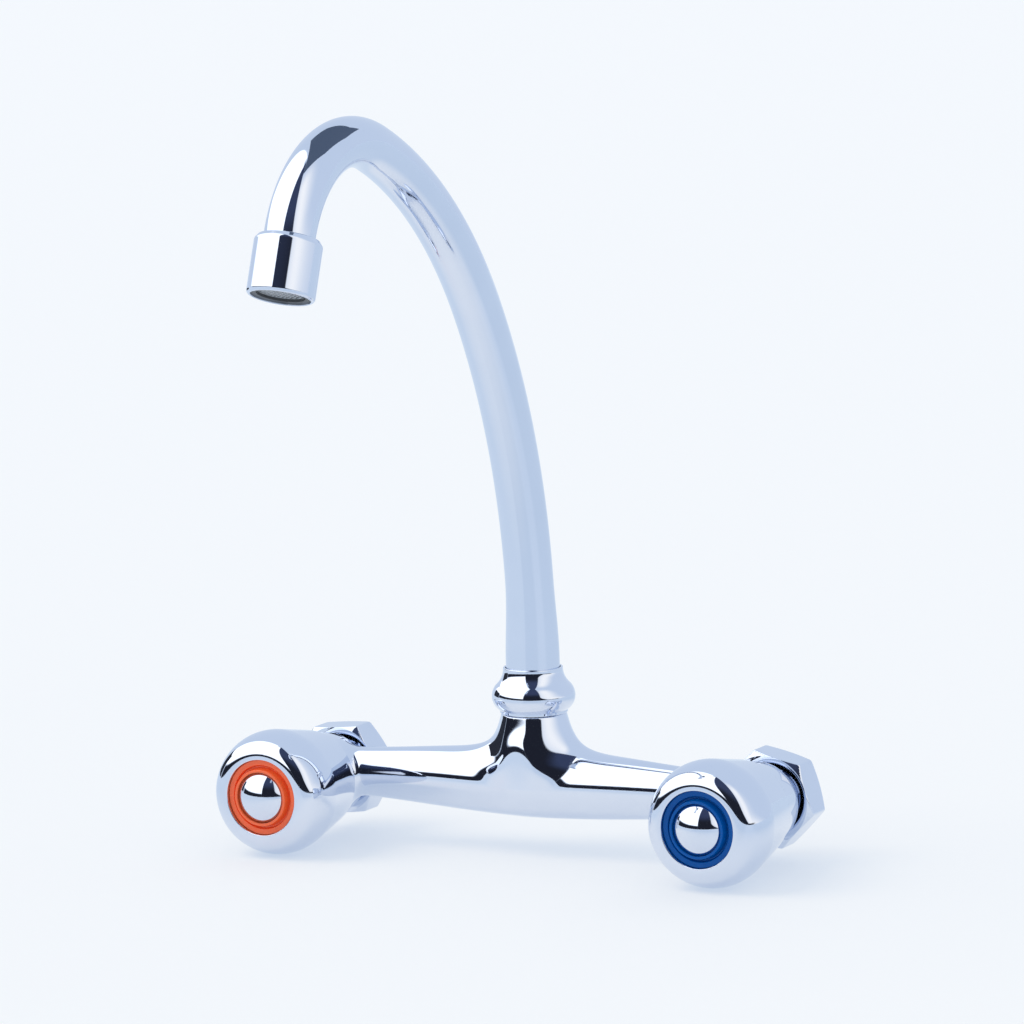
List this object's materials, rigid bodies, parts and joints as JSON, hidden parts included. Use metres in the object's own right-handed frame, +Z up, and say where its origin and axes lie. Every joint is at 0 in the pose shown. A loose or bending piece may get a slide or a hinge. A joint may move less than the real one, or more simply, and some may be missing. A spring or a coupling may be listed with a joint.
{
  "type": "kitchen faucet",
  "caption": "Wall-mounted two-handle kitchen mixer with a tall curved swivel spout, domed knobs with coloured rings and hexagonal union nuts.",
  "frame": {"origin": "midway between the two inlet axes, in the plane of the union nuts' wall faces", "axes": "+X towards the cold side, -Y away from the wall, +Z up"},
  "size_m": [0.1892, 0.1796, 0.2382],
  "materials": {
    "chrome": "polished chrome plate",
    "brass": "turned brass",
    "rubber": "matt black rubber",
    "nylon": "natural nylon",
    "fibre": "pressed red fibre",
    "steel": "stainless steel",
    "aerator_plastic": "dark moulded plastic",
    "hot_plastic": "glossy orange-red plastic",
    "cold_plastic": "glossy blue plastic"
  },
  "bodies": {
    "fixed": {"body": "chrome", "spout_nut": "chrome", "spout_retaining_ring": "nylon", "spout_washer": "nylon", "hot_bonnet": "brass", "hot_bonnet_gasket": "fibre", "hot_thrust_washer": "nylon", "hot_tailpiece": "chrome", "hot_inlet_gasket": "rubber", "hot_strainer": "steel", "cold_bonnet": "brass", "cold_bonnet_gasket": "fibre", "cold_thrust_washer": "nylon", "cold_tailpiece": "chrome", "cold_inlet_gasket": "rubber", "cold_strainer": "steel"},
    "spout": {"spout_tube": "chrome", "spout_tailpiece": "brass", "spout_o_rings": "rubber", "aerator_housing": "chrome", "aerator_body": "aerator_plastic", "aerator_insert": "nylon", "aerator_screens": "steel", "aerator_washer": "rubber"},
    "hot_handle": {"hot_handle": "chrome", "hot_index_ring": "hot_plastic", "hot_cap": "chrome", "hot_handle_screw": "steel", "hot_spindle": "brass", "hot_spindle_o_rings": "rubber", "hot_spindle_clip": "steel"},
    "hot_plug": {"hot_washer_plug": "brass", "hot_tap_washer": "rubber", "hot_washer_screw": "steel"},
    "hot_nut": {"hot_union_nut": "chrome"},
    "cold_handle": {"cold_handle": "chrome", "cold_index_ring": "cold_plastic", "cold_cap": "chrome", "cold_handle_screw": "steel", "cold_spindle": "brass", "cold_spindle_o_rings": "rubber", "cold_spindle_clip": "steel"},
    "cold_plug": {"cold_washer_plug": "brass", "cold_tap_washer": "rubber", "cold_washer_screw": "steel"},
    "cold_nut": {"cold_union_nut": "chrome"}
  },
  "joints": [
    {"name": "spout_swivel", "type": "hinge", "parent": "fixed", "child": "spout", "pos_m": [0, -0.019, 0], "axis": [0, 0, 1], "range_deg": [-90, 90]},
    {"name": "hot_handle_turn", "type": "hinge", "parent": "fixed", "child": "hot_handle", "pos_m": [-0.075, 0, 0], "axis": [0, -1, 0], "range_deg": [0, 810]},
    {"name": "hot_plug_lift", "type": "slide", "parent": "fixed", "child": "hot_plug", "axis": [0, -1, 0], "range_m": [0, 0.0045]},
    {"name": "hot_nut_turn", "type": "hinge", "parent": "fixed", "child": "hot_nut", "pos_m": [-0.075, 0, 0], "axis": [0, -1, 0], "continuous": true},
    {"name": "cold_handle_turn", "type": "hinge", "parent": "fixed", "child": "cold_handle", "pos_m": [0.075, 0, 0], "axis": [0, -1, 0], "range_deg": [0, 810]},
    {"name": "cold_plug_lift", "type": "slide", "parent": "fixed", "child": "cold_plug", "axis": [0, -1, 0], "range_m": [0, 0.0045]},
    {"name": "cold_nut_turn", "type": "hinge", "parent": "fixed", "child": "cold_nut", "pos_m": [0.075, 0, 0], "axis": [0, -1, 0], "continuous": true}
  ],
  "couplings": [
    {"joint": "hot_plug_lift", "follows": "hot_handle_turn", "m_per_rad": 0.000318},
    {"joint": "cold_plug_lift", "follows": "cold_handle_turn", "m_per_rad": 0.000318}
  ]
}
